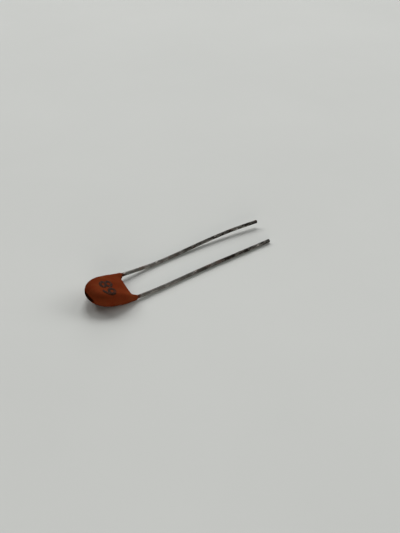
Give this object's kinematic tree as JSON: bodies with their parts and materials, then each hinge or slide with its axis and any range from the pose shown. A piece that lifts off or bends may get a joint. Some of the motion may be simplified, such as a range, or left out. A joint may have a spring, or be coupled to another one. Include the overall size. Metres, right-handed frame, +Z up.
{
  "type": "ceramic disc capacitor",
  "caption": "Resin-dipped ceramic disc capacitor lying on its side, with short coated legs and long round wire leads that are soldered into a circuit board.",
  "frame": {"origin": "on the surface the part lies on, under the middle of its bounding box", "axes": "+X along the leads from the disc to their tips, +Y across the leads towards the upper lead, +Z up from the surface"},
  "size_m": [0.0298, 0.006, 0.0024],
  "materials": {
    "resin_dip": "matte dipped phenolic resin",
    "tinned_wire": "dull hot-dipped tin",
    "dielectric": "fired titanate ceramic",
    "silver_film": "fired silver film",
    "solder": "frozen tin solder"
  },
  "bodies": {
    "root": {"dipped_coat": "resin_dip", "lead_upper": "tinned_wire", "lead_lower": "tinned_wire", "ceramic_disc": "dielectric", "electrode_upper": "silver_film", "electrode_lower": "silver_film", "solder_upper": "solder", "solder_lower": "solder"}
  },
  "joints": []
}
